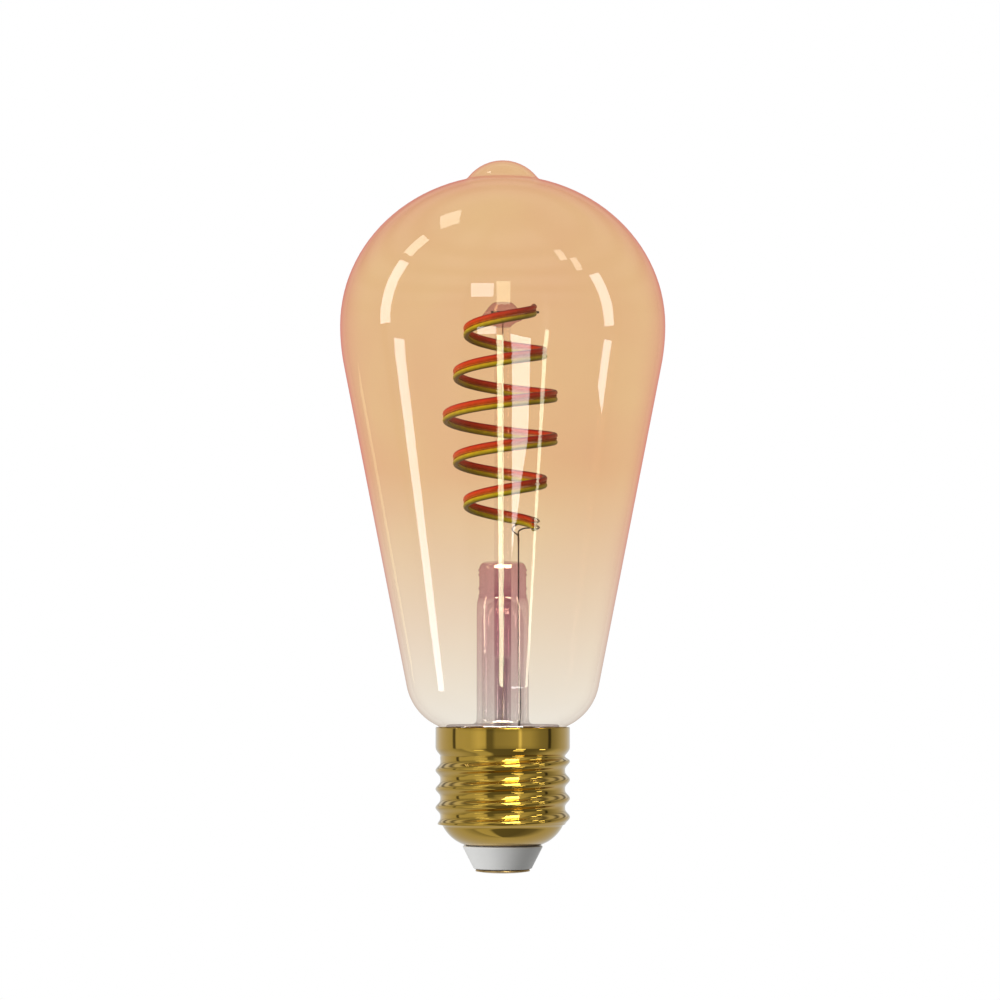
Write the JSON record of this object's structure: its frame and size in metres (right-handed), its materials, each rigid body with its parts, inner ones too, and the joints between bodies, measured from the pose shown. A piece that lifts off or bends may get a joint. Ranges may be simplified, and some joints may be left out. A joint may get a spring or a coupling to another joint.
{
  "type": "smart light bulb",
  "caption": "Filament-style smart bulb: amber teardrop glass, coiled two-tone filament on a glass stem, gold screw cap holding a driver and a radio board.",
  "frame": {"origin": "on the bulb's axis, at the flat bottom of the centre contact, where the contact meets the lampholder", "axes": "+Z along the axis from the screw cap towards the pip, +X to the side where the filament's two ends are, -Y towards the viewer in the usual front view"},
  "size_m": [0.064, 0.064, 0.14],
  "materials": {
    "amber_glass": "thin amber tinted glass, fading to clear towards the neck",
    "stem_glass": "clear glass, melted edges",
    "warm_phosphor": "satin red-orange phosphor silicone",
    "cool_phosphor": "satin yellow-green phosphor silicone",
    "carrier": "dark flexible strip",
    "lead_metal": "drawn nickel wire",
    "gold_shell": "polished gold-coloured plated metal",
    "contact_brass": "stamped brass, slightly dull",
    "white_insulator": "white, satin",
    "cement": "dry grey basing cement",
    "sleeve_plastic": "moulded, satin",
    "board_green": "green solder mask",
    "board_black": "black solder mask",
    "chip_black": "moulded epoxy",
    "can_steel": "tinned steel can",
    "capacitor_sleeve": "shrink sleeve",
    "ferrite": "sintered, matte",
    "copper": "enamelled copper",
    "resistor_body": "lacquered",
    "solder": "bright solder",
    "red_wire": "insulated wire",
    "blue_wire": "insulated wire"
  },
  "bodies": {
    "root": {"glass_envelope": "amber_glass", "stem_flare": "stem_glass", "stem_rod": "stem_glass", "stem_button": "stem_glass", "exhaust_tube": "stem_glass", "filament_warm_cord": "warm_phosphor", "filament_cool_cord": "cool_phosphor", "filament_carrier": "carrier", "terminal_top": "lead_metal", "terminal_warm": "lead_metal", "terminal_cool": "lead_metal", "top_support_wire": "lead_metal", "common_lead": "lead_metal", "warm_lead": "lead_metal", "cool_lead": "lead_metal", "cap_shell": "gold_shell", "cap_cement": "cement", "cap_insulator": "white_insulator", "centre_contact": "contact_brass", "contact_solder": "solder", "driver_sleeve": "sleeve_plastic", "driver_board": "board_green", "bulk_capacitor": "capacitor_sleeve", "inductor_core": "ferrite", "inductor_winding": "copper", "fusible_resistor": "resistor_body", "bridge_rectifier": "chip_black", "warm_driver_chip": "chip_black", "cool_driver_chip": "chip_black", "radio_board": "board_black", "radio_shield": "can_steel", "radio_antenna": "copper", "board_link": "chip_black", "line_lead": "red_wire", "neutral_lead": "blue_wire", "neutral_solder": "solder"}
  },
  "joints": []
}
